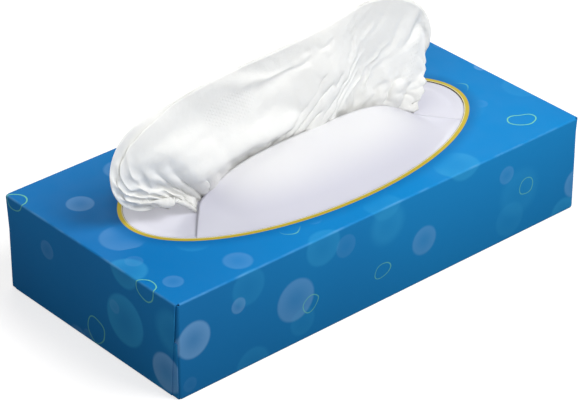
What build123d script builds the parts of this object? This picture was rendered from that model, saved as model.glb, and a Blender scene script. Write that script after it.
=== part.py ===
from build123d import *
import os
from math import sqrt

# Flat carton of facial tissues, with a film under its oval opening and one tissue drawn up through
# the film's slit. Lengths are in millimetres. The origin is the middle of the carton's base, with
# +X along the carton, +Y towards its back wall and +Z up.

# Carton: one die-cut blank of coated board, wrapped round into a tube and closed by end flaps.
carton_length = 230.0
carton_width = 114.4
carton_height = 46.2
board = 0.5
fold_radius = 0.9
seam_flap = 14.0            # strip glued inside the back wall to close the wrap
seam_gap = 0.3              # back wall's free edge above the base
outer_flap_gap = 0.8        # outer end flap's free edge above the base
outer_flap_taper = 3.4      # outer end flap's loss of width at its free edge, each side
inner_flap_height = 27.0
dust_flap_length = 36.0

# Oval opening in the top panel.
opening_end_land = 24.4     # board left between the oval and the carton's end
opening_side_land = 14.1    # board left between the oval and the carton's side

# Film glued under the top panel. Its slit is straight and turns to the front at both ends, so the
# film in front of it is a tongue, which the tissue pushes up.
film = 0.2
film_margin = 10.0          # glued border round the oval
film_corner_radius = 6.0
slit_end_inset = 15.1       # slit's end from the oval's end, along X
slit_corner_run = 20.5      # length along X of each turned end
slit_gape = 2.4             # each lip's distance from the slit's line
tongue_rise = 10.2          # tongue's crest over the flat film
tongue_crest_centre = 4.0
tongue_crest_overrun = 2.0  # raised length past the slit's straight part, each end
tongue_tip_gap = 2.0        # tongue's end to the slit's end, along X
tongue_root_inset = 1.5     # tongue's root inside the oval's edge
tongue_root_lap = 1.0       # how far the tongue and the flat film run on as one

# Tissues: folded in half and stacked, the top one half drawn.
stack_end_clearance = 7.0
stack_side_clearance = 4.45
stack_edge_radius = 1.5
head_room = 9.2             # free height over the stack
tail_thickness = 0.8        # drawn tissue's lower half, which lies on the stack
neck_clearance = 0.4        # drawn tissue to each lip of the slit
plume_clearance = 1.5       # drawn tissue's spread over the tongue's crest
neck_lap = 12.0             # neck's reach up into the spread

# Spread of the drawn tissue, as oval sections across X: place as a share of half the tissue's
# width, lowest and highest point over the carton, and thickness. "crest" is just over the tongue.
plume_sections = [
    (-0.94, 27.0, 38.0, 8.0),
    (-0.83, 10.0, 45.0, 16.0),
    (-0.58, 7.0, 50.0, 20.0),
    (-0.28, "crest", 55.0, 22.0),
    (0.05, "crest", 58.0, 24.0),
    (0.36, "crest", 59.8, 22.0),
    (0.58, "crest", 54.0, 16.0),
    (0.72, 26.0, 42.0, 7.0),
]

half_length = carton_length / 2
half_width = carton_width / 2
half_oval_length = half_length - opening_end_land
half_oval_width = half_width - opening_side_land

film_top = carton_height - board
slit_half_span = half_oval_length - slit_end_inset
slit_half_straight = slit_half_span - slit_corner_run
root_half_width = half_oval_width - tongue_root_inset
crest_top = film_top + tongue_rise

stack_length = carton_length - 6 * board - 2 * stack_end_clearance
stack_width = carton_width - 2 * board - 2 * stack_side_clearance
stack_height = carton_height - 2 * board - head_room
stack_top = board + stack_height


def folded_board(*points):
    # Outline of the board along a folded line. The points lie on its outer face, and the inside is
    # on the left of the way they run.
    outer_face = FilletPolyline(*points, radius=fold_radius)
    offset(outer_face, amount=board, side=Side.LEFT)


def tongue_root(x):
    # Y of the line where the tongue leaves the flat film, just inside the oval's front edge.
    return -root_half_width * sqrt(1 - (x / half_oval_length) ** 2)


def tongue_lip(x):
    # Y of the tongue's free edge: straight, then sloping to the slit's end.
    past_straight = max(0, abs(x) - slit_half_straight)
    slope = (tongue_root(slit_half_span) + slit_gape) / slit_corner_run
    return -slit_gape + slope * past_straight


def tongue_height(x):
    # Rise of the free edge: nearly level along the middle, falling steeply at both ends.
    half_crest = slit_half_straight + tongue_crest_overrun
    share = min(1, abs(x - tongue_crest_centre) / half_crest)
    return tongue_rise * (1 - share**4)


# Carton. The wrap is seen along X: from the back wall's free edge over the top, down the front and
# along the base. It stops where the end flaps' folds begin, which leaves a notch at each corner.
wrap_end = half_length - 2 * board - fold_radius
lap = 4 * fold_radius       # over which two strips of the same panel run on as one

with BuildPart() as end_closure:
    # Dust flaps, folded in from the front and back walls: the innermost of three glued layers.
    dust_face = half_length - 2 * board
    with BuildSketch(Plane.XY.offset(fold_radius)):
        with BuildLine():
            folded_board(
                (wrap_end - lap, -half_width),
                (dust_face, -half_width),
                (dust_face, -half_width + dust_flap_length),
            )
        make_face()
        with BuildLine():
            folded_board(
                (dust_face, half_width - dust_flap_length),
                (dust_face, half_width),
                (wrap_end - lap, half_width),
            )
        make_face()
    extrude(amount=carton_height - 2 * fold_radius)

    # Inner flap, folded up from the base. The base is narrower by the seam flap's board.
    inner_flap_width = carton_width - board - 2 * fold_radius
    with BuildSketch(Plane.XZ.offset(half_width - fold_radius)):
        with BuildLine():
            folded_board(
                (wrap_end - lap, 0),
                (half_length - board, 0),
                (half_length - board, inner_flap_height),
            )
        make_face()
    extrude(amount=-inner_flap_width)

    # Outer flap, folded down from the top panel over the whole end.
    outer_half_width = half_width - fold_radius
    with BuildSketch(Plane.XZ):
        with BuildLine():
            folded_board(
                (half_length, outer_flap_gap),
                (half_length, carton_height),
                (wrap_end - lap, carton_height),
            )
        make_face()
    extrude(amount=outer_half_width, both=True)

    # Its sides taper to the free edge.
    with BuildSketch(Plane.YZ.offset(half_length - board)):
        with BuildLine():
            Polyline(
                (outer_half_width, carton_height - fold_radius),
                (outer_half_width - outer_flap_taper, outer_flap_gap),
                (outer_half_width, outer_flap_gap),
                close=True,
            )
        make_face()
        mirror(about=Plane.YZ)
    extrude(amount=board, mode=Mode.SUBTRACT)

with BuildPart() as carton:
    with BuildSketch(Plane.YZ.offset(-wrap_end)):
        with BuildLine():
            folded_board(
                (half_width, seam_gap),
                (half_width, carton_height),
                (-half_width, carton_height),
                (-half_width, 0),
                (half_width - lap, 0),
            )
        make_face()
    extrude(amount=2 * wrap_end)

    # Seam flap: the base's edge, folded up and glued inside the back wall.
    with BuildSketch(Plane.YZ.offset(-wrap_end)):
        with BuildLine():
            folded_board(
                (half_width - 2 * lap, 0),
                (half_width - board, 0),
                (half_width - board, seam_flap),
            )
        make_face()
    extrude(amount=2 * wrap_end)

    add(end_closure.part)
    mirror(end_closure.part, about=Plane.YZ)

    with BuildSketch(Plane.XY.offset(carton_height)):
        Ellipse(half_oval_length, half_oval_width)
    extrude(amount=-2 * board, mode=Mode.SUBTRACT)


# Film. The slit's opening lies between its back lip and the tongue's root.
with BuildSketch() as slit_opening:
    Ellipse(half_oval_length, root_half_width)
    with BuildLine():
        Polyline(
            (-slit_half_span, -half_width),
            (-slit_half_span, tongue_root(slit_half_span)),
            (-slit_half_straight, slit_gape),
            (slit_half_straight, slit_gape),
            (slit_half_span, tongue_root(slit_half_span)),
            (slit_half_span, -half_width),
            close=True,
        )
    make_face(mode=Mode.INTERSECT)

tongue_half_length = slit_half_span - tongue_tip_gap
tongue_stations = 25
root_level = film_top - 1.25 * film     # the tongue's root starts just under the flat film

with BuildPart() as film_window:
    with BuildSketch(Plane.XY.offset(film_top)):
        RectangleRounded(
            2 * (half_oval_length + film_margin),
            2 * (half_oval_width + film_margin),
            film_corner_radius,
        )
        add(slit_opening.sketch, mode=Mode.SUBTRACT)
    extrude(amount=-film)

    # Tongue: a loft of thin strips, each rising from its root and levelling out at the free edge.
    # It is ruled from strip to strip, because its height falls steeply at both ends.
    for station in range(tongue_stations):
        x = tongue_half_length * (2 * station / (tongue_stations - 1) - 1)
        root = tongue_root(x) - tongue_root_lap
        lip = tongue_lip(x)
        crest = root_level + tongue_height(x)
        knee = (root + lip) / 2
        with BuildSketch(Plane.YZ.offset(x)):
            with BuildLine():
                under = Bezier((root, root_level), (knee, crest), (lip, crest))
                over = Bezier((root, root_level + film), (knee, crest + film), (lip, crest + film))
                Line(under @ 0, over @ 0)
                Line(under @ 1, over @ 1)
            make_face()
    loft(ruled=True)


# Stack of folded tissues, rounded along its folds.
with BuildPart() as tissue_stack:
    with BuildSketch(Plane.XY.offset(board)):
        Rectangle(stack_length, stack_width)
    extrude(amount=stack_height)
    fillet(tissue_stack.edges().filter_by(Axis.X), radius=stack_edge_radius)


# Drawn tissue: a tail on the stack, a neck through the slit and the spread over the film.
plume_bottom = crest_top + plume_clearance
neck_half_length = slit_half_straight - neck_clearance
neck_half_width = slit_gape - neck_clearance

with BuildPart() as plume:
    for share, low, high, thickness in plume_sections:
        bottom = plume_bottom if low == "crest" else carton_height + low
        top = carton_height + high
        with BuildSketch(Plane.YZ.offset(share * stack_length / 2)):
            with Locations((0, (bottom + top) / 2)):
                Ellipse(thickness / 2, (top - bottom) / 2)
    loft()

with BuildPart() as drawn_tissue:
    with BuildSketch(Plane.XY.offset(stack_top)):
        Rectangle(stack_length, stack_width - 2 * stack_edge_radius)
    extrude(amount=tail_thickness)

    with BuildSketch(Plane.XY.offset(stack_top)):
        Rectangle(2 * neck_half_length, 2 * neck_half_width)
    extrude(amount=plume_bottom + neck_lap - stack_top)

    add(plume.part)


os.makedirs("parts", exist_ok=True)
for name, sub_part in {
    "carton": carton,
    "film_window": film_window,
    "tissue_stack": tissue_stack,
    "drawn_tissue": drawn_tissue,
}.items():
    sub_part.part.label = name
    export_step(sub_part.part, f"parts/{name}.step")
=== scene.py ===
from math import cos, pi, radians, sin

import bmesh
import bpy
import numpy as np
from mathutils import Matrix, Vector


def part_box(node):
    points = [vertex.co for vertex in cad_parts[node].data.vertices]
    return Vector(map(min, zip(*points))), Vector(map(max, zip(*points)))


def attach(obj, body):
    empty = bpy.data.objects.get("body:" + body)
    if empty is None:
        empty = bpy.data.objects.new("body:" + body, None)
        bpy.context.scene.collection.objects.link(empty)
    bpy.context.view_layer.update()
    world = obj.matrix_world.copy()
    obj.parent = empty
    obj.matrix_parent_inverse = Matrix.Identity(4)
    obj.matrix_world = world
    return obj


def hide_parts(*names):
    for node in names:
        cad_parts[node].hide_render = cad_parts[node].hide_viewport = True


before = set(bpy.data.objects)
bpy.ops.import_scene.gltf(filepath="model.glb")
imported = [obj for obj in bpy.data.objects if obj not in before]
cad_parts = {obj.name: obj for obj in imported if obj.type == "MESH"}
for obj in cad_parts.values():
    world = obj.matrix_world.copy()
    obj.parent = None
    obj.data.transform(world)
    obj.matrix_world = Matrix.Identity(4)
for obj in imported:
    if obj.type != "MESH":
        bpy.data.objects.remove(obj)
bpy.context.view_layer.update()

bpy.context.scene.view_settings.view_transform = "Standard"
print("frame loaded:", sorted(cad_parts))

mm = 0.001
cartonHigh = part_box("carton")[1]
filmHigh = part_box("film_window")[1]
stackLow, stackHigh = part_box("tissue_stack")
halfLength = cartonHigh.x
halfWidth = cartonHigh.y
topZ = cartonHigh.z

# the oval opening and the film under it, as the carton's own sizes give them
oval = {"halfLength": halfLength - 24.4 * mm, "halfWidth": halfWidth - 14.1 * mm, "board": 0.5 * mm}


def meshFrom(name, points, faces, smooth=True):
    # one object from arrays of points and faces, at the origin
    mesh = bpy.data.meshes.new(name)
    mesh.from_pydata(points.reshape(-1, 3).tolist(), [], faces)
    mesh.update()
    mesh.polygons.foreach_set("use_smooth", np.full(len(mesh.polygons), smooth))
    piece = bpy.data.objects.new(name, mesh)
    bpy.context.scene.collection.objects.link(piece)
    return piece


def gridFaces(rows, columns, start=0, flip=False):
    # quads of a grid of rows x columns points, numbered row by row
    r, c = np.meshgrid(np.arange(rows - 1), np.arange(columns - 1), indexing="ij")
    a = (start + r * columns + c).ravel()
    quads = np.stack([a, a + 1, a + columns + 1, a + columns], axis=1)
    return (quads[:, ::-1] if flip else quads).tolist()


def smoothStep(low, high, value):
    # 0 below low, 1 above high, an S curve between
    t = np.clip((value - low) / (high - low), 0, 1)
    return t * t * (3 - 2 * t)


def finishPiece(piece, node, material):
    piece.data.materials.clear()
    piece.data.materials.append(material)
    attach(piece, "root")
    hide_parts(node)
    print("made", piece.name, len(piece.data.polygons), "faces")


def newMaterial(name):
    material = bpy.data.materials.new(name)
    material.use_nodes = True
    tree = material.node_tree
    shader = tree.nodes["Principled BSDF"]
    return material, tree, shader


def newGroup(name, inputs, outputs):
    # inputs and outputs are lists of (name, kind, default)
    tree = bpy.data.node_groups.new(name, "ShaderNodeTree")
    for way, sockets in (("INPUT", inputs), ("OUTPUT", outputs)):
        for socketName, kind, default in sockets:
            socket = tree.interface.new_socket(socketName, in_out=way, socket_type="NodeSocket" + kind)
            if default is not None:
                socket.default_value = default
    return tree, tree.nodes.new("NodeGroupInput").outputs, tree.nodes.new("NodeGroupOutput").inputs


def useGroup(tree, group, **values):
    # places a group; spaces in socket names are written as underscores
    node = tree.nodes.new("ShaderNodeGroup")
    node.node_tree = group
    for name, value in values.items():
        feed(tree, node.inputs[name.replace("_", " ")], value)
    return node.outputs


def feed(tree, socket, value):
    if isinstance(value, bpy.types.NodeSocket):
        tree.links.new(value, socket)
    elif value is not None:
        socket.default_value = value


def calc(tree, operation, *values, clamp=False):
    node = tree.nodes.new("ShaderNodeMath")
    node.operation = operation
    node.use_clamp = clamp
    for socket, value in zip(node.inputs, values):
        feed(tree, socket, value)
    return node.outputs[0]


def product(tree, first, *others):
    for other in others:
        first = calc(tree, "MULTIPLY", first, other)
    return first


def choose(tree, share, first, second):
    # first where share is 1, second where it is 0
    rest = calc(tree, "SUBTRACT", 1.0, share)
    return calc(tree, "ADD", product(tree, first, share), product(tree, rest, second))


def planeLength(tree, x, y):
    # length of a line that runs x one way and y the other
    return calc(tree, "SQRT", calc(tree, "ADD", product(tree, x, x), product(tree, y, y)))


def remap(tree, value, fromLow, fromHigh, toLow=0.0, toHigh=1.0, kind="SMOOTHSTEP"):
    node = tree.nodes.new("ShaderNodeMapRange")
    node.interpolation_type = kind
    for socket, number in zip(node.inputs, (value, fromLow, fromHigh, toLow, toHigh)):
        feed(tree, socket, number)
    return node.outputs[0]


def blendColour(tree, share, first, second, kind="MIX"):
    node = tree.nodes.new("ShaderNodeMix")
    node.data_type = "RGBA"
    node.blend_type = kind
    feed(tree, node.inputs[0], share)
    feed(tree, node.inputs[6], first)
    feed(tree, node.inputs[7], second)
    return node.outputs[2]


def noise(tree, vector, scale, detail=2.0, rough=0.5, dimensions="3D", **more):
    node = tree.nodes.new("ShaderNodeTexNoise")
    node.noise_dimensions = dimensions
    feed(tree, node.inputs["Vector"], vector)
    node.inputs["Scale"].default_value = scale
    node.inputs["Detail"].default_value = detail
    node.inputs["Roughness"].default_value = rough
    for name, value in more.items():
        feed(tree, node.inputs[name], value)
    return node.outputs


def bump(tree, height, distance, strength=1.0, normal=None):
    node = tree.nodes.new("ShaderNodeBump")
    node.inputs["Strength"].default_value = strength
    node.inputs["Distance"].default_value = distance
    feed(tree, node.inputs["Height"], height)
    feed(tree, node.inputs["Normal"], normal)
    return node.outputs[0]


def linear(red, green, blue):
    # a screen colour of 0 to 255 as the shader's linear values
    values = [c / 255 for c in (red, green, blue)]
    return [c / 12.92 if c <= 0.04045 else ((c + 0.055) / 1.055) ** 2.4 for c in values] + [1.0]


def objectPoint(tree):
    return tree.nodes.new("ShaderNodeTexCoord").outputs["Object"]


def splitVector(tree, vector):
    node = tree.nodes.new("ShaderNodeSeparateXYZ")
    feed(tree, node.inputs[0], vector)
    return node.outputs


def joinVector(tree, x, y, z=0.0):
    node = tree.nodes.new("ShaderNodeCombineXYZ")
    for socket, value in zip(node.inputs, (x, y, z)):
        feed(tree, socket, value)
    return node.outputs[0]


view = {
    "azimuth": -41.27,
    "elevation": 31.33,
    "distance": 1.230,
    "aim": (-0.0028, 0.0010, 0.0212),
    "lens": 173.8,
}


def placeCamera():
    # the camera stands at the distance along its angles from the point it aims at
    a, e = radians(view["azimuth"]), radians(view["elevation"])
    away = Vector((sin(a) * cos(e), -cos(a) * cos(e), sin(e)))
    camera = bpy.data.objects.new("camera", bpy.data.cameras.new("camera"))
    camera.data.lens = view["lens"]
    camera.data.sensor_width = 36
    camera.location = Vector(view["aim"]) + away * view["distance"]
    camera.rotation_euler = away.to_track_quat("Z", "Y").to_euler()
    bpy.context.scene.collection.objects.link(camera)
    bpy.context.scene.camera = camera


lighting = {
    # name: (direction the light comes from, distance, size, watts)
    "keyLight": ((0.32, -0.55, 0.78), 1.3, 0.7, 13.4),
    "backLight": ((0.56, 0.72, 0.46), 1.4, 0.7, 3.5),
    "fillLight": ((-0.80, -0.60, 0.60), 1.4, 0.8, 5.5),
    "world": 0.34,
}


def placeLights():
    for name, values in lighting.items():
        if name == "world":
            continue
        direction, distance, size, power = values
        lamp = bpy.data.lights.new(name, "AREA")
        lamp.shape = "SQUARE"
        lamp.size = size
        lamp.energy = power
        lampObject = bpy.data.objects.new(name, lamp)
        away = Vector(direction).normalized()
        lampObject.location = Vector((0, 0, topZ)) + away * distance
        lampObject.rotation_euler = away.to_track_quat("Z", "Y").to_euler()
        bpy.context.scene.collection.objects.link(lampObject)


def makeWorld():
    world = bpy.data.worlds.new("studio")
    bpy.context.scene.world = world
    world.use_nodes = True
    tree = world.node_tree
    plain = tree.nodes["Background"]
    plain.inputs["Color"].default_value = (1, 1, 1, 1)
    plain.inputs["Strength"].default_value = lighting["world"]
    seen = tree.nodes.new("ShaderNodeBackground")
    seen.inputs["Color"].default_value = (1, 1, 1, 1)
    seen.inputs["Strength"].default_value = 1.0
    path = tree.nodes.new("ShaderNodeLightPath")
    mix = tree.nodes.new("ShaderNodeMixShader")
    bright = calc(tree, "MAXIMUM", path.outputs["Is Camera Ray"], path.outputs["Is Glossy Ray"])
    tree.links.new(bright, mix.inputs[0])
    tree.links.new(plain.outputs[0], mix.inputs[1])
    tree.links.new(seen.outputs[0], mix.inputs[2])
    tree.links.new(mix.outputs[0], tree.nodes["World Output"].inputs["Surface"])


ground = {
    "size": 3.0,
    "otherRays": 0.22,             # grey that lights the object
    "seen": (0.52, 0.51, 0.50, 1),
    "fade": (0.30, 0.95),          # the floor whitens between these radii
    "ownLight": (0.63, 1.0),
}


def makeFloor():
    size = ground["size"]
    corners = np.array([[-size, -size, 0], [size, -size, 0], [size, size, 0], [-size, size, 0]])
    floor = meshFrom("floor", corners, [[0, 1, 2, 3]], smooth=False)
    # the camera sees a white floor; other rays meet a darker one, so little light comes back
    # from it to the walls. Both show the object's shadow.
    material, tree, shader = newMaterial("paleFloor")
    shader.inputs["Base Color"].default_value = [ground["otherRays"]] * 3 + [1]
    shader.inputs["Roughness"].default_value = 0.9
    shader.inputs["Specular IOR Level"].default_value = 0.0
    lit = tree.nodes.new("ShaderNodeBsdfDiffuse")
    lit.inputs["Color"].default_value = ground["seen"]
    own = tree.nodes.new("ShaderNodeEmission")
    own.inputs["Color"].default_value = (1, 1, 1, 1)
    x, y, z = splitVector(tree, objectPoint(tree))
    strength = remap(tree, planeLength(tree, x, y), *ground["fade"], *ground["ownLight"])
    feed(tree, own.inputs["Strength"], strength)
    seen = tree.nodes.new("ShaderNodeAddShader")
    tree.links.new(lit.outputs[0], seen.inputs[0])
    tree.links.new(own.outputs[0], seen.inputs[1])
    path = tree.nodes.new("ShaderNodeLightPath")
    mix = tree.nodes.new("ShaderNodeMixShader")
    tree.links.new(path.outputs["Is Camera Ray"], mix.inputs[0])
    tree.links.new(shader.outputs[0], mix.inputs[1])
    tree.links.new(seen.outputs[0], mix.inputs[2])
    tree.links.new(mix.outputs[0], tree.nodes["Material Output"].inputs["Surface"])
    floor.data.materials.append(material)


placeCamera()
placeLights()
makeWorld()
makeFloor()
print("camera, light and floor placed")


printed = {
    "deepBlue": linear(12, 112, 180),
    "brightBlue": linear(8, 130, 198),
    # painted shade: the grey mixed into the walls, and how much of it
    "wallShadeGrey": linear(70, 110, 130),
    "wallShadeShare": 0.16,
    "paleSpot": linear(134, 184, 232),
    "tealSpot": linear(60, 165, 215),
    "lineGreen": linear(128, 214, 160),
    "rubbedBlue": linear(120, 175, 215),
    "shadeBlue": linear(4, 70, 130),
    "gold": linear(184, 164, 50),
    "cutCream": linear(222, 214, 170),
    "core": linear(92, 78, 40),
    "inside": linear(176, 170, 158),
    "endDepth": 0.9 * mm,           # the end's print starts this near the end
    "wallStart": 0.6 * mm,          # below the top face
    "clearOfOval": (4 * mm, 12 * mm),
    "goldFrom": (0.4 * mm, 0.6 * mm),
    "goldTo": (2.1 * mm, 2.4 * mm),
    "shadeFrom": (2 * mm, 9 * mm),
    "topSkin": 0.2 * mm,            # what counts as the top face
    "skin": 0.33 * mm,              # depth of the printed face
    "cutDepth": 1.1 * mm,           # below the top face, at the oval's cut edge
    "endBand": 2.5 * mm,            # the end flaps show only their printed side
    "ringCell": 42 * mm,
    "ringLine": 0.93,               # where the line runs, as a share of the ring's radius
    "ringWidth": (0.035, 0.065),
}

discLayers = [
    # cell, shift, least and greatest radius, share of cells, softness, colour, strength
    (0.066, (0.271, 0.815, 0), 0.16, 0.28, 0.75, 0.09, "tealSpot", 0.36),
    (0.038, (0.507, 0.333, 0), 0.18, 0.34, 0.60, 0.05, "tealSpot", 0.48),
    (0.046, (0.213, 0.421, 0), 0.15, 0.27, 0.70, 0.035, "paleSpot", 0.66),
    (0.025, (0.911, 0.523, 0), 0.14, 0.28, 0.35, 0.04, "paleSpot", 0.42),
]


def blankGroup():
    # where a point of the folded carton lies on its flat blank: the walls are laid out from the
    # top panel, so a shape that crosses a fold is whole
    tree, given, wanted = newGroup(
        "flatBlank",
        [("Point", "Vector", None), ("Half Length", "Float", 0.115), ("Height", "Float", 0.046)],
        [("Blank", "Vector", None), ("Drop", "Float", None), ("On End", "Float", None)],
    )
    x, y, z = splitVector(tree, given["Point"])
    drop = calc(tree, "SUBTRACT", given["Height"], z)
    edge = calc(tree, "SUBTRACT", given["Half Length"], printed["endDepth"])
    onEnd = calc(tree, "GREATER_THAN", calc(tree, "ABSOLUTE", x), edge)
    onSide = calc(tree, "SUBTRACT", 1.0, onEnd)
    laidX = calc(tree, "ADD", x, product(tree, calc(tree, "SIGN", x), drop, onEnd))
    laidY = calc(tree, "ADD", y, product(tree, calc(tree, "SIGN", y), drop, onSide))
    tree.links.new(joinVector(tree, laidX, laidY), wanted["Blank"])
    tree.links.new(drop, wanted["Drop"])
    tree.links.new(onEnd, wanted["On End"])
    return tree


def ovalGroup():
    # distance outwards from an oval in the XY plane: the oval's own function less 1, over the
    # length of its slope
    tree, given, wanted = newGroup(
        "ovalDistance",
        [("Point", "Vector", None), ("Half Length", "Float", 0.09), ("Half Width", "Float", 0.043)],
        [("Distance", "Float", None)],
    )
    x, y, z = splitVector(tree, given["Point"])
    p = calc(tree, "DIVIDE", x, given["Half Length"])
    q = calc(tree, "DIVIDE", y, given["Half Width"])
    f = planeLength(tree, p, q)
    gx = calc(tree, "DIVIDE", p, given["Half Length"])
    gy = calc(tree, "DIVIDE", q, given["Half Width"])
    slope = planeLength(tree, gx, gy)
    away = calc(tree, "MULTIPLY", calc(tree, "SUBTRACT", f, 1.0), calc(tree, "DIVIDE", f, slope))
    tree.links.new(away, wanted["Distance"])
    return tree


def spotsGroup():
    # soft-lit discs, at most one in each cell of a scattered grid. A cell's random colour gives
    # the disc's radius, its strength and whether it is there.
    tree, given, wanted = newGroup(
        "scatteredSpots",
        [("Blank", "Vector", None), ("Cell", "Float", 0.03), ("Shift", "Vector", None),
         ("Small", "Float", 0.12), ("Large", "Float", 0.3), ("Share", "Float", 0.5),
         ("Softness", "Float", 0.02)],
        [("Mask", "Float", None), ("Edge", "Float", None)],
    )
    moved = tree.nodes.new("ShaderNodeVectorMath")
    tree.links.new(given["Blank"], moved.inputs[0])
    tree.links.new(given["Shift"], moved.inputs[1])
    cells = tree.nodes.new("ShaderNodeTexVoronoi")
    cells.voronoi_dimensions = "2D"
    cells.inputs["Randomness"].default_value = 0.72
    tree.links.new(moved.outputs[0], cells.inputs["Vector"])
    feed(tree, cells.inputs["Scale"], calc(tree, "DIVIDE", 1.0, given["Cell"]))
    red, green, blue = splitVector(tree, cells.outputs["Color"])
    radius = remap(tree, red, 0.0, 1.0, given["Small"], given["Large"], kind="LINEAR")
    there = calc(tree, "LESS_THAN", green, given["Share"])
    inside = remap(tree, calc(tree, "SUBTRACT", radius, cells.outputs["Distance"]), 0.0, given["Softness"])
    strength = remap(tree, blue, 0.0, 1.0, 0.2, 1.0, kind="LINEAR")
    tree.links.new(product(tree, inside, there, strength), wanted["Mask"])
    tree.links.new(calc(tree, "DIVIDE", cells.outputs["Distance"], radius), wanted["Edge"])
    return tree


flatBlank = blankGroup()
ovalDistance = ovalGroup()
scatteredSpots = spotsGroup()


def fibreGroup():
    # fine pulp fibres: stretched noise in two directions, 0 to 1
    tree, given, wanted = newGroup(
        "paperFibre",
        [("Point", "Vector", None), ("Scale", "Float", 900.0)],
        [("Height", "Float", None), ("Cloud", "Float", None)],
    )
    fine = tree.nodes.new("ShaderNodeTexNoise")
    tree.links.new(given["Point"], fine.inputs["Vector"])
    tree.links.new(given["Scale"], fine.inputs["Scale"])
    fine.inputs["Detail"].default_value = 4.0
    fine.inputs["Roughness"].default_value = 0.65
    fine.inputs["Distortion"].default_value = 1.2
    cloud = tree.nodes.new("ShaderNodeTexNoise")
    tree.links.new(given["Point"], cloud.inputs["Vector"])
    feed(tree, cloud.inputs["Scale"], calc(tree, "MULTIPLY", given["Scale"], 0.12))
    cloud.inputs["Detail"].default_value = 3.0
    tree.links.new(fine.outputs[0], wanted["Height"])
    tree.links.new(cloud.outputs[0], wanted["Cloud"])
    return tree


paperFibre = fibreGroup()


def groundColour(tree, u, v, blank, onWall):
    # blue that brightens along the box and towards the front edge; on the walls a little grey is mixed in
    # as painted shade
    lengthways = product(tree, remap(tree, u, -0.13, 0.06), remap(tree, u, 0.07, 0.13, 1.0, 0.55), 0.75)
    frontwards = remap(tree, v, 0.05, -0.06, 0.0, 0.35)
    clouds = remap(tree, noise(tree, blank, 14.0, detail=1.0)[0], 0.3, 0.7, -0.12, 0.12)
    lift = calc(tree, "ADD", calc(tree, "ADD", lengthways, frontwards), clouds, clamp=True)
    colour = blendColour(tree, lift, printed["deepBlue"], printed["brightBlue"])
    return blendColour(tree, product(tree, onWall, printed["wallShadeShare"]), colour, printed["wallShadeGrey"])


def addDiscs(tree, colour, blank, clear):
    for cell, shift, small, large, share, softness, tint, strength in discLayers:
        mask, edge = useGroup(
            tree, scatteredSpots, Blank=blank, Cell=cell, Shift=shift,
            Small=small, Large=large, Share=share, Softness=softness,
        )
        rim = remap(tree, edge, 0.0, 1.0, 0.5, 1.0)
        shown = product(tree, mask, rim, product(tree, clear, strength))
        colour = blendColour(tree, shown, colour, printed[tint])
    return colour


def addRings(tree, colour, blank, clear, onWall):
    # thin uneven outlines: the edge of one more layer of discs, pushed about by noise
    wobble = tree.nodes.new("ShaderNodeVectorMath")
    wobble.operation = "MULTIPLY_ADD"
    tree.links.new(noise(tree, blank, 60.0, detail=1.0)["Color"], wobble.inputs[0])
    wobble.inputs[1].default_value = (0.008, 0.008, 0)
    tree.links.new(blank, wobble.inputs[2])
    mask, edge = useGroup(
        tree, scatteredSpots, Blank=wobble.outputs[0], Cell=printed["ringCell"],
        Shift=(0.341, 0.127, 0), Small=0.09, Large=0.16, Share=0.5, Softness=0.001,
    )
    offLine = calc(tree, "ABSOLUTE", calc(tree, "SUBTRACT", edge, printed["ringLine"]))
    line = remap(tree, offLine, *printed["ringWidth"], 1.0, 0.0)
    line = product(tree, line, calc(tree, "GREATER_THAN", mask, 0.0))
    faint = calc(tree, "SUBTRACT", 0.8, product(tree, onWall, 0.35))
    return blendColour(tree, product(tree, line, clear, faint), colour, printed["lineGreen"])


def shadeWalls(tree, colour, u, drop, onEnd, onWall):
    # painted shade: the walls are coloured darker than the top, most at the left, and darker downwards
    alongTone = remap(tree, u, -0.115, 0.07, 0.90, 1.05)
    endTone = remap(tree, u, -0.12, 0.12, 0.90, 1.0)
    tone = choose(tree, onEnd, endTone, alongTone)
    tone = product(tree, tone, remap(tree, drop, 0.0, topZ, 1.08, 0.78, kind="LINEAR"))
    tone = choose(tree, onWall, tone, 1.0)
    grey = tree.nodes.new("ShaderNodeCombineColor")
    for socket in grey.inputs:
        tree.links.new(tone, socket)
    return blendColour(tree, 1.0, colour, grey.outputs[0], kind="MULTIPLY")


def rubFolds(tree, colour, point, toEnd, toSide, drop):
    # the varnish is rubbed a little paler along the top folds
    nearest = calc(tree, "MAXIMUM", calc(tree, "MINIMUM", toEnd, toSide), drop)
    patchy = remap(tree, noise(tree, point, 90.0)[0], 0.35, 0.7, 0.05, 0.35)
    rubbed = product(tree, remap(tree, nearest, 0.0002, 0.0011, 1.0, 0.0), patchy)
    return blendColour(tree, rubbed, colour, printed["rubbedBlue"])


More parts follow.
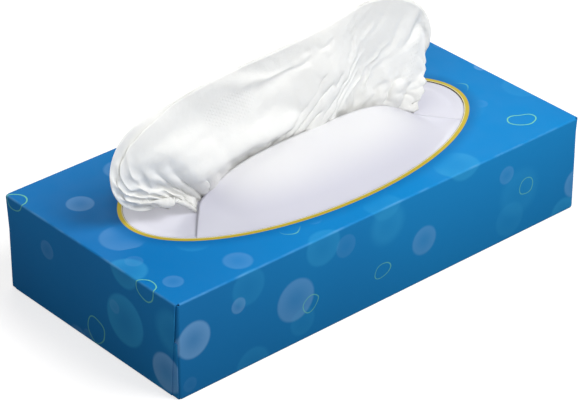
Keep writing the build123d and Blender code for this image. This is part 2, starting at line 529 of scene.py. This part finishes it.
def boardMaterial():
    material, tree, shader = newMaterial("printedBoard")
    point = objectPoint(tree)
    x, y, z = splitVector(tree, point)
    blank, drop, onEnd = useGroup(tree, flatBlank, Point=point, Half_Length=halfLength, Height=topZ)
    u, v, w = splitVector(tree, blank)
    away = useGroup(
        tree, ovalDistance, Point=point, Half_Length=oval["halfLength"], Half_Width=oval["halfWidth"]
    )[0]
    onWall = calc(tree, "GREATER_THAN", drop, printed["wallStart"])
    toEnd = calc(tree, "SUBTRACT", halfLength, calc(tree, "ABSOLUTE", x))
    toSide = calc(tree, "SUBTRACT", halfWidth, calc(tree, "ABSOLUTE", y))

    # discs and rings are kept clear of the oval
    clear = remap(tree, calc(tree, "ADD", away, drop), *printed["clearOfOval"])
    colour = groundColour(tree, u, v, blank, onWall)
    colour = addDiscs(tree, colour, blank, clear)
    colour = addRings(tree, colour, blank, clear, onWall)
    # painted shade on the walls
    colour = shadeWalls(tree, colour, u, drop, onEnd, onWall)
    colour = rubFolds(tree, colour, point, toEnd, toSide, drop)

    # gold line printed round the oval, and a cream line between it and the cut edge
    onTop = calc(tree, "LESS_THAN", drop, printed["topSkin"])
    inner = remap(tree, away, *printed["goldFrom"])
    gold = product(tree, inner, remap(tree, away, *printed["goldTo"], 1.0, 0.0), onTop)
    cream = product(tree, calc(tree, "SUBTRACT", 1.0, inner), onTop)
    shade = product(tree, remap(tree, away, *printed["shadeFrom"], 0.35, 0.0), onTop)
    colour = blendColour(tree, shade, colour, printed["shadeBlue"])
    colour = blendColour(tree, gold, colour, printed["gold"])
    colour = blendColour(tree, cream, colour, printed["cutCream"])

    # the printed face is only skin deep: the oval's cut edge and the inside are bare board
    atOval = calc(tree, "LESS_THAN", away, 0.1 * mm)
    cut = product(tree, atOval, calc(tree, "LESS_THAN", drop, printed["cutDepth"]))
    depth = calc(tree, "MINIMUM", calc(tree, "MINIMUM", toEnd, toSide), calc(tree, "MINIMUM", drop, z))
    within = calc(tree, "GREATER_THAN", depth, printed["skin"])
    within = product(tree, within, calc(tree, "GREATER_THAN", toEnd, printed["endBand"]))
    bare = blendColour(tree, cut, printed["inside"], printed["core"])
    colour = blendColour(tree, calc(tree, "MAXIMUM", cut, within), colour, bare)

    fibre, cloud = useGroup(tree, paperFibre, Point=point, Scale=700.0)
    tree.links.new(colour, shader.inputs["Base Color"])
    tree.links.new(product(tree, gold, 0.2), shader.inputs["Metallic"])
    shader.inputs["Specular IOR Level"].default_value = 0.03
    tree.links.new(remap(tree, cloud, 0.3, 0.7, 0.42, 0.5), shader.inputs["Roughness"])
    tree.links.new(bump(tree, fibre, 0.00003, 0.5), shader.inputs["Normal"])
    return material


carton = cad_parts["carton"]
boardFinish = boardMaterial()
carton.data.materials.clear()
carton.data.materials.append(boardFinish)
print("board printed")


film = {
    "size": (201.2 * mm, 106.2 * mm),    # the oval and a 10 mm margin of glue
    "halfSpan": oval["halfLength"] - 15.1 * mm,
    "halfStraight": oval["halfLength"] - 35.6 * mm,
    "slitDrop": 23.0 * mm,          # how far the slit's ends turn to the front
    "shift": -0.8 * mm,
    "rise": 10.2 * mm,              # the tongue's crest over the flat film
    "crestCentre": 4.0 * mm,
    "endRise": 0.7 * mm,            # added to the tongue, and kept nearly to the slit's ends
    "sag": 0.8 * mm,
    "backSwell": 1.6 * mm,          # behind the slit
    "backReach": 13 * mm,
    "dome": (72 * mm, 6 * mm),      # X and Y of the low dome beside the right end
    "domeReach": (10 * mm, 9 * mm),
    "domeRise": 2.2 * mm,
    "columns": 241,
    "rows": 40,
    "thickness": 0.08 * mm,
    "gape": 1.8 * mm,               # between the two lips
    "lap": 1.4 * mm,                # of the front lip over the back one, where the slit is shut
    "shutFrom": (-54 * mm, -60 * mm),
}


def slitLine(x):
    # Y of the slit: level, then sloping to the front at both ends with a rounded turn
    past = (np.abs(x) - film["halfStraight"]) / (film["halfSpan"] - film["halfStraight"])
    soft = 0.5 * (past + np.sqrt(past**2 + 0.02))     # a smooth ramp in place of a corner
    return -film["slitDrop"] * np.clip(soft, 0, 1.05)


def ovalHalfWidthAt(x):
    return oval["halfWidth"] * np.sqrt(np.clip(1 - (x / oval["halfLength"]) ** 2, 0, 1))


def filmSurface(x, y, frontSide):
    # height of the film: flat where it is glued, a slight sag inside the oval, and the tongue's
    # rise from the oval's front edge to the slit
    f = np.sqrt((x / oval["halfLength"]) ** 2 + (y / oval["halfWidth"]) ** 2)
    inside = smoothStep(1.0, 0.93, f)
    height = -film["sag"] * inside
    lip = slitLine(x - film["shift"])
    reach = np.clip(np.abs(x - film["crestCentre"]) / (film["halfStraight"] + 2 * mm), 0, 1.5)
    swell = 1 - reach**4
    swell = 0.5 * (swell + np.sqrt(swell**2 + 0.05))     # eases out at both ends of the slit
    crest = film["rise"] * swell + film["sag"]
    spread = np.clip(np.abs(x - film["shift"]) / film["halfSpan"], 0, 1)
    crest = crest + film["endRise"] * (1 - spread**8)
    if frontSide:
        root = -ovalHalfWidthAt(x)
        climb = np.clip((y - root) / np.maximum(lip - root, 0.2 * mm), 0, 1)
        height = height + crest * np.sin(0.5 * pi * climb) ** 1.15 * inside
    else:
        fall = np.exp(-(((y - lip) / film["backReach"]) ** 2))
        height = height + film["backSwell"] * swell * fall * inside
        (domeX, domeY), (reachX, reachY) = film["dome"], film["domeReach"]
        dome = np.exp(-(((x - domeX) / reachX) ** 2) - ((y - domeY) / reachY) ** 2)
        height = height + film["domeRise"] * dome
    return filmHeight + height


filmHeight = topZ - oval["board"] - 0.05 * mm


def makeFilm():
    # two grids that share the slit's line: the tongue in front of it and the film behind it
    edgeX = filmHigh.x
    edgeY = filmHigh.y
    x = np.linspace(-edgeX, edgeX, film["columns"])
    lip = slitLine(x - film["shift"])
    share = np.linspace(0, 1, film["rows"])[:, None]
    meshes = []
    for frontSide in (True, False):
        spread = np.clip(np.abs(x - film["shift"]) / film["halfSpan"], 0, 1)
        backLip = lip + film["gape"] * (1 - spread**6) * smoothStep(-60 * mm, -40 * mm, x)
        # at its left end the slit stays shut, with the front lip resting on the back one
        shut = smoothStep(*film["shutFrom"], x) * smoothStep(1.0, 0.97, spread)
        backLip = backLip - film["lap"] * shut
        low, high = (-edgeY, lip) if frontSide else (backLip, edgeY)
        y = low + (high - low) * share
        xx = np.broadcast_to(x, y.shape)
        z = filmSurface(xx, y, frontSide)
        meshes.append(np.stack([xx, y, z], axis=-1))
    closed = np.abs(x - film["shift"]) >= film["halfSpan"]
    # past the slit's ends both lips are the same line
    middle = 0.5 * (meshes[0][-1, :, 2] + meshes[1][0, :, 2])
    for m, row in ((0, -1), (1, 0)):
        meshes[m][row, :, 2] = np.where(closed, middle, meshes[m][row, :, 2])
    count = film["rows"] * film["columns"]
    points = np.concatenate([m.reshape(-1, 3) for m in meshes])
    faces = gridFaces(film["rows"], film["columns"]) + gridFaces(film["rows"], film["columns"], count)
    piece = meshFrom("slitFilm", points, faces)
    weldLips(piece, closed, count)
    return piece


def weldLips(piece, closed, count):
    # joins the two lips' points where the film is whole, past the slit's ends
    bm = bmesh.new()
    bm.from_mesh(piece.data)
    bm.verts.ensure_lookup_table()
    last = (film["rows"] - 1) * film["columns"]
    targets = {bm.verts[count + i]: bm.verts[last + i] for i in np.nonzero(closed)[0]}
    bmesh.ops.weld_verts(bm, targetmap=targets)
    bm.to_mesh(piece.data)
    bm.free()


def filmMaterial():
    material, tree, shader = newMaterial("milkyFilm")
    point = objectPoint(tree)
    # painted light: the film is coloured paler the higher it stands, so the tongue's crest looks lit
    x, y, z = splitVector(tree, point)
    paintedCrestLight = remap(tree, z, filmHeight + 0.5 * mm, filmHeight + 10.5 * mm)
    soft = noise(tree, point, 16.0, detail=1.0)[0]
    paintedCrestLight = calc(tree, "ADD", paintedCrestLight, remap(tree, soft, 0.3, 0.7, -0.12, 0.12), clamp=True)
    colour = blendColour(tree, paintedCrestLight, linear(198, 198, 210), linear(225, 225, 228))
    tree.links.new(colour, shader.inputs["Base Color"])
    shader.inputs["Roughness"].default_value = 0.34
    shader.inputs["Subsurface Weight"].default_value = 0.15
    shader.inputs["Subsurface Radius"].default_value = (0.004, 0.004, 0.005)
    shader.inputs["Specular IOR Level"].default_value = 0.5
    stretched = tree.nodes.new("ShaderNodeMapping")
    stretched.inputs["Scale"].default_value = (1.0, 0.35, 1.0)
    tree.links.new(point, stretched.inputs["Vector"])
    soft = noise(tree, stretched.outputs[0], 45.0, detail=2.0)[0]
    tree.links.new(bump(tree, soft, 0.0006, 0.5), shader.inputs["Normal"])
    return material


slitFilm = makeFilm()
wall = slitFilm.modifiers.new("thickness", "SOLIDIFY")
wall.thickness = film["thickness"]
wall.offset = 0
finishPiece(slitFilm, "film_window", filmMaterial())


stack = {
    "sheets": 44,
    "ridge": 0.35 * mm,        # how far the sides draw in between two sheets
    "slip": 0.12 * mm,
    "rowsPerSheet": 4,
    "outlinePoints": 240,
    "squareness": 0.06,        # power of the outline: 1 is an ellipse, 0 a rectangle
}


def makeStack():
    # layers one over the other: a rounded outline whose sides swell at each fold, with every
    # sheet a little out of line with the next
    rng = np.random.default_rng(5)
    low, high = stackLow, stackHigh
    rows = stack["sheets"] * stack["rowsPerSheet"] + 1
    height = np.linspace(low.z, high.z, rows)
    phase = np.linspace(0, stack["sheets"], rows)
    swell = stack["ridge"] * (1 - np.abs(np.sin(pi * phase)) ** 0.7)
    eachSlip = rng.normal(0, stack["slip"], stack["sheets"] + 1)
    slip = np.interp(phase, np.arange(stack["sheets"] + 1), eachSlip)
    turn = np.linspace(0, 2 * pi, stack["outlinePoints"] + 1)[:-1]
    c, s = np.cos(turn), np.sin(turn)
    power = stack["squareness"]
    ox = np.sign(c) * np.abs(c) ** power * high.x
    oy = np.sign(s) * np.abs(s) ** power * high.y
    inset = swell[:, None]
    px = ox[None, :] * (1 - inset / high.x)
    py = oy[None, :] * (1 - inset / high.y) + slip[:, None]
    pz = np.broadcast_to(height[:, None], px.shape)
    points = np.stack([px, py, pz], axis=-1)
    n = len(turn)
    r, k = np.meshgrid(np.arange(rows - 1), np.arange(n), indexing="ij")
    a, b = (r * n + k).ravel(), (r * n + (k + 1) % n).ravel()
    faces = np.stack([a, b, b + n, a + n], axis=1).tolist()
    faces.append(list(range(n))[::-1])
    faces.append([(rows - 1) * n + i for i in range(n)])
    return meshFrom("foldedStack", points, faces)


def stackMaterial():
    material, tree, shader = newMaterial("stackedTissue")
    point = objectPoint(tree)
    fibre, cloud = useGroup(tree, paperFibre, Point=point, Scale=1200.0)
    colour = blendColour(tree, cloud, linear(238, 238, 234), linear(228, 228, 224))
    tree.links.new(colour, shader.inputs["Base Color"])
    shader.inputs["Roughness"].default_value = 0.95
    tree.links.new(bump(tree, fibre, 0.00012, 0.8), shader.inputs["Normal"])
    return material


foldedStack = makeStack()
finishPiece(foldedStack, "tissue_stack", stackMaterial())


tissue = {
    "width": 213 * mm,
    "length": 209 * mm,
    "shown": 58 * mm,       # how much of the length stands above the slit
    "columns": 112,
    "rows": 34,
    "tailRows": 16,
    "neckWidth": 130 * mm,  # width of the sheet at the slit, less what the neck's pleats take
    "footLeft": -64 * mm,   # where the two sides leave the slit
    "footRight": 60 * mm,
    "bunched": 0.17,        # share of the width drawn together at the slit's left end
    "behindLip": 1.5 * mm,
    "endCentre": (-80 * mm, 71 * mm),   # the rim's round left end: X and Z of its centre
    "endRadius": 20 * mm,
    "crest": (42 * mm, 104 * mm),       # the rim's highest place
    "shoulder": (37 * mm, 24 * mm),     # how far the right shoulder reaches and drops from it
    "shoulderTurn": 110,                # degrees
    "rimWave": 1.5 * mm,
    "rimLean": 6 * mm,      # the middle of the rim stands this much behind its ends
    "slack": 1.04,          # paper between slit and rim, over the straight distance
    "frames": 26,
    "grow": 10.0,           # the cloth is worked at this many times its size
    "tail": 150 * mm,       # length of the sheet below the slit
    "plyGap": 0.5 * mm,
    "plyStep": 4.5 * mm,    # how far the back ply passes the front one at the left rim
    "thickness": 0.07 * mm,
}

def alongCurve(points, shares, smoothing=15):
    # points at the given shares of a curve's length, rounded by a moving average
    points = np.asarray(points, float)
    step = np.linalg.norm(np.diff(points, axis=0), axis=1)
    at = np.concatenate([[0], np.cumsum(step)]) / step.sum()
    fine = np.linspace(0, 1, 600)
    dense = np.stack([np.interp(fine, at, points[:, k]) for k in range(3)], axis=1)
    window = np.hanning(smoothing + 2)[1:-1]
    window /= window.sum()
    half = smoothing // 2
    before = 2 * dense[0] - dense[half:0:-1]
    after = 2 * dense[-1] - dense[-2:-half - 2:-1]
    padded = np.concatenate([before, dense, after])
    smooth = np.stack([np.convolve(padded[:, k], window, mode="valid") for k in range(3)], axis=1)
    return np.stack([np.interp(shares, fine, smooth[:, k]) for k in range(3)], axis=1)


def softField(rng, shape, across, down):
    # smooth random values of about 1: white noise blurred along both ways of the grid
    field = rng.normal(size=shape)
    for axis, width in ((1, across), (0, down)):
        reach = np.arange(-3 * int(width), 3 * int(width) + 1)
        window = np.exp(-0.5 * (reach / width) ** 2)
        window /= np.sqrt((window**2).sum())
        pad = [(0, 0), (0, 0)]
        pad[axis] = (len(reach) // 2,) * 2
        padded = np.pad(field, pad, mode="reflect")
        field = np.apply_along_axis(np.convolve, axis, padded, window, mode="valid")
    return field


def rimLine():
    # from the low left corner: half a circle round the left end, a long rise to the crest with one
    # slow wave in it, then a part of an ellipse down the right shoulder
    t = np.linspace(0, 1, 120)
    centreX, centreZ = tissue["endCentre"]
    crestX, crestZ = tissue["crest"]
    reach, drop = tissue["shoulder"]
    turn = radians(270) - pi * t
    endX = centreX + tissue["endRadius"] * np.cos(turn)
    endZ = centreZ + tissue["endRadius"] * np.sin(turn)
    riseX = centreX + (crestX - centreX) * t
    riseZ = endZ[-1] + (crestZ - endZ[-1]) * t + tissue["rimWave"] * np.sin(2 * pi * t)
    turn = radians(90) - radians(tissue["shoulderTurn"]) * t
    rightX = crestX + reach * np.cos(turn)
    rightZ = crestZ - drop + drop * np.sin(turn)
    x = np.concatenate([endX, riseX[1:], rightX[1:]])
    z = np.concatenate([endZ, riseZ[1:], rightZ[1:]])
    y = tissue["rimLean"] * np.sin(pi * np.linspace(0, 1, len(x)))
    return np.stack([x, y, z], axis=1)


def slitFoot(a):
    # where each share of the width leaves the slit: bunched together at the left end by a smooth
    # ramp, then evenly along it, just behind the tongue's lip
    def ramp(share):
        past = share - tissue["bunched"]
        return past + np.sqrt(past**2 + 0.01)

    x = tissue["footLeft"] + (tissue["footRight"] - tissue["footLeft"]) * ramp(a) / ramp(1.0)
    return x, slitLine(x - film["shift"]) + tissue["behindLip"]


def tissueStart():
    # the sheet above the slit before it crumples: straight lines from the slit to the top edge,
    # bellied towards the front, with soft random swells that start the folds
    rng = np.random.default_rng(11)
    a = np.linspace(0, 1, tissue["columns"])
    b = np.linspace(0, 1, tissue["rows"])[:, None]
    top = alongCurve(rimLine(), a)
    footX, footY = slitFoot(a)
    pleats = 0.7 * mm * np.sin(2 * pi * a * 23 + 1.5 * np.sin(9 * a))
    foot = np.stack([footX, footY + pleats, np.full_like(a, filmHeight - 1 * mm)], axis=1)
    points = foot[None] + (top - foot)[None] * b[..., None]
    middle = smoothStep(0.12, 0.35, a) * smoothStep(1.0, 0.75, a)
    belly = (-6.5 * np.sin(pi * b**1.5) + 3.5 * np.exp(-(((b - 0.22) / 0.14) ** 2))) * mm * middle
    # upright pleats near the right side, and a dent in the top right corner
    pleated = smoothStep(0.78, 0.84, a) * smoothStep(1.0, 0.96, a) * smoothStep(0.8, 0.2, b)
    belly = belly + 1.6 * mm * np.sin(2 * pi * (a - 0.8) / 0.047) * pleated
    belly = belly + 3.2 * mm * np.exp(-(((a - 0.925) / 0.028) ** 2) - ((b - 0.8) / 0.13) ** 2)
    swell = 2.4 * mm * softField(rng, (tissue["rows"], tissue["columns"]), 12, 9) * np.sin(pi * b) ** 0.5
    points[..., 1] += belly + swell
    # the two side edges bow out between the slit and the top edge
    bow = np.sin(pi * b)
    points[..., 2] += 5.0 * mm * bow * smoothStep(0.12, 0.0, a)
    points[..., 0] += 3.5 * mm * bow * smoothStep(0.9, 1.0, a)
    return points


def tissueFlat(start):
    # the same part of the sheet laid flat, narrower at the slit where the pleats take it up, and
    # a little longer than the way from the slit to the rim
    a = np.linspace(-0.5, 0.5, tissue["columns"])
    b = np.linspace(0, 1, tissue["rows"])[:, None]
    width = tissue["neckWidth"] + (tissue["width"] - tissue["neckWidth"]) * b**0.6
    x = a * width
    height = b * np.linalg.norm(start[-1] - start[0], axis=-1) * tissue["slack"]
    return np.stack([x, np.zeros_like(x), height], axis=-1)


def crumple(start, flat):
    # cloth held at the slit and along the top edge, whose flat shape has more paper than the
    # space between them, so it buckles into folds
    grow = tissue["grow"]
    rows, columns = start.shape[:2]
    sheet = meshFrom("crumpling", start * grow, gridFaces(rows, columns))
    sheet.shape_key_add(name="start")
    rest = sheet.shape_key_add(name="flat")
    rest.data.foreach_set("co", (flat * grow).ravel())
    rest.value = 0
    held = sheet.vertex_groups.new(name="held")
    index = np.arange(rows * columns).reshape(rows, columns)
    held.add(index[0].tolist(), 1.0, "REPLACE")
    held.add(index[-1].tolist(), 1.0, "REPLACE")
    held.add(index[:, [0, -1]].ravel().tolist(), 1.0, "REPLACE")
    cloth = sheet.modifiers.new("cloth", "CLOTH")
    cloth.point_cache.frame_start = 1
    cloth.point_cache.frame_end = tissue["frames"]
    settings = cloth.settings
    settings.quality = 5
    settings.mass = 0.1
    settings.tension_stiffness = 20
    settings.compression_stiffness = 20
    settings.shear_stiffness = 8
    settings.bending_stiffness = 14
    settings.bending_damping = 1.0
    settings.air_damping = 4
    settings.vertex_group_mass = "held"
    settings.rest_shape_key = rest
    settings.effector_weights.gravity = 0.06
    bounce = cloth.collision_settings
    bounce.use_collision = False
    bounce.use_self_collision = True
    bounce.self_distance_min = 0.010
    bounce.self_friction = 8
    scene = bpy.context.scene
    for frameNumber in range(1, tissue["frames"] + 1):
        scene.frame_set(frameNumber)
    evaluated = sheet.evaluated_get(bpy.context.evaluated_depsgraph_get())
    found = np.empty(rows * columns * 3)
    evaluated.data.vertices.foreach_get("co", found)
    mesh = sheet.data
    bpy.data.objects.remove(sheet)
    bpy.data.meshes.remove(mesh)
    scene.frame_set(1)
    return found.reshape(rows, columns, 3) / grow


def clearOfTongue(points):
    # below the tongue's crest the tissue stays just behind its lip
    x, y, z = points[..., 0], points[..., 1], points[..., 2]
    lip = slitLine(x - film["shift"])
    crest = filmSurface(x, lip, True)
    below = smoothStep(crest + 4 * mm, crest, z) * (np.abs(x) < film["halfStraight"] + 8 * mm)
    points[..., 1] = y + below * (np.clip(y, lip + 0.8 * mm, lip + 2.2 * mm) - y)
    return points


def tailRows(foot):
    # from the slit down to the stack, back to the fold behind and forward again to the far edge,
    # spreading from the gathered neck to the full width
    share = np.linspace(0, 1, tissue["tailRows"] + 1)[1:]
    # Y, and height over the stack
    path = [
        (1.0, 8.0), (1.2, 4.5), (4.0, 2.1), (14.0, 1.8),
        (46.0, 1.7), (47.6, 1.2), (46.0, 0.7), (-48.0, 0.5),
    ]
    path = np.array(path) * mm + (0, stackHigh.z)
    step = np.linalg.norm(np.diff(path, axis=0), axis=1)
    at = np.concatenate([[0], np.cumsum(step)]) / step.sum()
    share = np.unique(np.concatenate([share, at[1:-1]]))
    y = np.interp(share, at, path[:, 0])[:, None]
    z = np.interp(share, at, path[:, 1])[:, None]
    flatX = np.linspace(-0.5, 0.5, foot.shape[0]) * tissue["width"]
    spread = smoothStep(0.02, at[4], share)[:, None]
    x = foot[:, 0] * 0.96 * (1 - spread) + flatX * spread
    keep = (1 - smoothStep(0.0, at[3], share))[:, None]
    y = y + (foot[:, 1] - 1.0 * mm) * keep * 0.5
    return np.stack([x, y, np.broadcast_to(z, x.shape)], axis=-1)[::-1]


def sampleGrid(points, rowShare):
    # the grid's points moved along its columns to the given shares of the height
    rows, columns = points.shape[:2]
    at = np.clip(rowShare, 0, 1) * (rows - 1)
    low = np.clip(np.floor(at).astype(int), 0, rows - 2)
    part = (at - low)[..., None]
    column = np.broadcast_to(np.arange(columns), at.shape)
    return points[low, column] * (1 - part) + points[low + 1, column] * part


def facets(rng, a, b):
    # flat planes meeting in soft creases: triangle waves crossing at random angles, in units of
    # their own height
    total = np.zeros(np.broadcast(a, b).shape)
    for wavelength in (88, 70, 58, 47):
        angle = rng.uniform(0, pi)
        run = (a * tissue["width"] * cos(angle) + b * tissue["shown"] * sin(angle)) / mm
        phase = run / wavelength + rng.uniform(0, 1)
        phase = phase + 0.07 * softField(rng, total.shape, 12, 8)
        wave = np.abs(phase - np.floor(phase) - 0.5) * 4 - 1
        total += wave * wavelength / 60
    return total


def gridNormals(points):
    across = np.gradient(points, axis=1)
    up = np.gradient(points, axis=0)
    normal = np.cross(across, up)
    return normal / np.maximum(np.linalg.norm(normal, axis=-1, keepdims=True), 1e-9)


def makePlies():
    start = tissueStart()
    shown = clearOfTongue(crumple(start, tissueFlat(start)))
    print("tissue crumpled")
    rng = np.random.default_rng(4)
    rows, columns = shown.shape[:2]
    a = np.linspace(0, 1, columns)
    b = np.linspace(0, 1, rows)[:, None]
    normal = gridNormals(shown)
    planes = 1.5 * mm * facets(rng, a, b) * np.sin(pi * np.clip(b, 0, 1)) ** 0.4
    shown = shown + normal * planes[..., None]
    normal = gridNormals(shown)
    short = tissue["plyStep"] / tissue["shown"] * smoothStep(0.34, 0.2, a) + 0.4 * mm / tissue["shown"]
    front = sampleGrid(shown, b * (1 - short))
    puff = 0.5 + 0.5 * np.clip(softField(rng, (rows, columns), 9, 5), -1, 1)
    gap = tissue["plyGap"] * (0.6 + puff) * smoothStep(0.0, 0.2, b)
    front = front + normal * gap[..., None]
    plies = []
    for name, visible in (("tissueBackPly", shown), ("tissueFrontPly", front)):
        tail = tailRows(visible[0])
        if name == "tissueFrontPly":
            tail[..., 2] += 0.15 * mm
        grid = np.concatenate([tail, visible])
        ply = meshFrom(name, grid, gridFaces(*grid.shape[:2]))
        across = np.broadcast_to((a - 0.5) * tissue["width"], grid.shape[:2])
        behind = np.linspace(-tissue["tail"], 0, len(tail) + 1)[:-1, None]
        along = np.broadcast_to(np.concatenate([behind, b * tissue["shown"]]), grid.shape[:2])
        flat = np.stack([across, along, np.zeros_like(across)], axis=-1)
        flatSheet = ply.data.attributes.new("flatSheet", "FLOAT_VECTOR", "POINT")
        flatSheet.data.foreach_set("vector", flat.ravel())
        smooth = ply.modifiers.new("smooth", "SUBSURF")
        smooth.levels = smooth.render_levels = 1
        paper = ply.modifiers.new("paper", "SOLIDIFY")
        paper.thickness = tissue["thickness"]
        paper.offset = 0
        plies.append(ply)
    return plies


def embossGroup():
    # rows of small round dots on the flat sheet, 0 to 1
    tree, given, wanted = newGroup(
        "embossedDots",
        [("Flat", "Vector", None), ("Pitch", "Float", 0.0014)],
        [("Dots", "Float", None)],
    )
    x, y, z = splitVector(tree, given["Flat"])
    total = None
    for value in (x, y):
        wave = calc(tree, "SINE", calc(tree, "DIVIDE", product(tree, value, 2 * pi), given["Pitch"]))
        total = wave if total is None else calc(tree, "MULTIPLY", total, wave)
    tree.links.new(remap(tree, total, 0.1, 0.8), wanted["Dots"])
    return tree


def creaseGroup():
    # crushed paper: cells of random size that rise from their middles to a ridge between them,
    # pushed about by noise
    tree, given, wanted = newGroup(
        "crushedPaper",
        [("Point", "Vector", None), ("Scale", "Float", 60.0)],
        [("Height", "Float", None)],
    )
    warp = tree.nodes.new("ShaderNodeTexNoise")
    tree.links.new(given["Point"], warp.inputs["Vector"])
    feed(tree, warp.inputs["Scale"], calc(tree, "MULTIPLY", given["Scale"], 0.8))
    moved = tree.nodes.new("ShaderNodeVectorMath")
    moved.operation = "MULTIPLY_ADD"
    tree.links.new(warp.outputs["Color"], moved.inputs[0])
    moved.inputs[1].default_value = (0.008, 0.008, 0.008)
    tree.links.new(given["Point"], moved.inputs[2])
    cells = tree.nodes.new("ShaderNodeTexVoronoi")
    tree.links.new(moved.outputs[0], cells.inputs["Vector"])
    tree.links.new(given["Scale"], cells.inputs["Scale"])
    tree.links.new(cells.outputs["Distance"], wanted["Height"])
    return tree


embossedDots = embossGroup()
crushedPaper = creaseGroup()

emboss = {
    "bondFromMiddle": 94 * mm,
    "bondEdge": (2.2 * mm, 2.8 * mm),
    "patchCentre": (-16 * mm, 41 * mm),
    "patchHalfSize": (14 * mm, 8 * mm),
    "pitch": 2.4 * mm,
}


def tissueMaterial():
    material, tree, shader = newMaterial("softTissue")
    point = objectPoint(tree)
    flatNode = tree.nodes.new("ShaderNodeAttribute")
    flatNode.attribute_name = "flatSheet"
    flat = flatNode.outputs["Vector"]
    x, y, z = splitVector(tree, flat)
    fibre, cloud = useGroup(tree, paperFibre, Point=point, Scale=900.0)
    colour = blendColour(tree, cloud, linear(243, 243, 240), linear(238, 238, 235))
    # painted shade: the paper is coloured darker low down, just above the film's crest, where less light
    # comes through it from behind
    low = remap(tree, splitVector(tree, point)[2], topZ + 4 * mm, topZ + 21 * mm, 0.55, 0.0)
    colour = blendColour(tree, low, colour, linear(206, 206, 203))
    tree.links.new(colour, shader.inputs["Base Color"])
    shader.inputs["Roughness"].default_value = 0.9
    shader.inputs["Specular IOR Level"].default_value = 0.15
    shader.inputs["Subsurface Weight"].default_value = 0.25
    shader.inputs["Subsurface Radius"].default_value = (0.004, 0.004, 0.004)

    # the line of dots that bonds the plies along both sides, and one embossed patch
    fromMiddle = calc(tree, "ABSOLUTE", x)
    side = calc(tree, "ABSOLUTE", calc(tree, "SUBTRACT", fromMiddle, emboss["bondFromMiddle"]))
    bond = remap(tree, side, *emboss["bondEdge"], 1.0, 0.0)
    (centreX, centreY), (halfX, halfY) = emboss["patchCentre"], emboss["patchHalfSize"]
    across = calc(tree, "DIVIDE", calc(tree, "SUBTRACT", x, centreX), halfX)
    along = calc(tree, "DIVIDE", calc(tree, "SUBTRACT", y, centreY), halfY)
    reach = calc(tree, "ADD", product(tree, across, across), product(tree, along, along))
    patch = remap(tree, reach, 0.7, 1.1, 1.0, 0.0)
    dots = useGroup(tree, embossedDots, Flat=flat, Pitch=emboss["pitch"])[0]
    dots = product(tree, dots, calc(tree, "MAXIMUM", bond, patch))

    stretched = tree.nodes.new("ShaderNodeMapping")
    stretched.inputs["Scale"].default_value = (1.0, 5.0, 1.0)
    tree.links.new(flat, stretched.inputs["Vector"])
    crepe = noise(tree, stretched.outputs[0], 320.0, detail=3.0)[0]
    large = useGroup(tree, crushedPaper, Point=point, Scale=55.0)[0]
    small = useGroup(tree, crushedPaper, Point=point, Scale=150.0)[0]
    normal = bump(tree, large, 0.0030, 0.16)
    normal = bump(tree, small, 0.0011, 0.16, normal)
    normal = bump(tree, dots, 0.0003, 0.35, normal)
    normal = bump(tree, crepe, 0.00020, 0.35, normal)
    normal = bump(tree, fibre, 0.00012, 0.4, normal)
    tree.links.new(normal, shader.inputs["Normal"])
    return material


softTissue = tissueMaterial()
for ply in makePlies():
    finishPiece(ply, "drawn_tissue", softTissue)

bpy.context.view_layer.update()
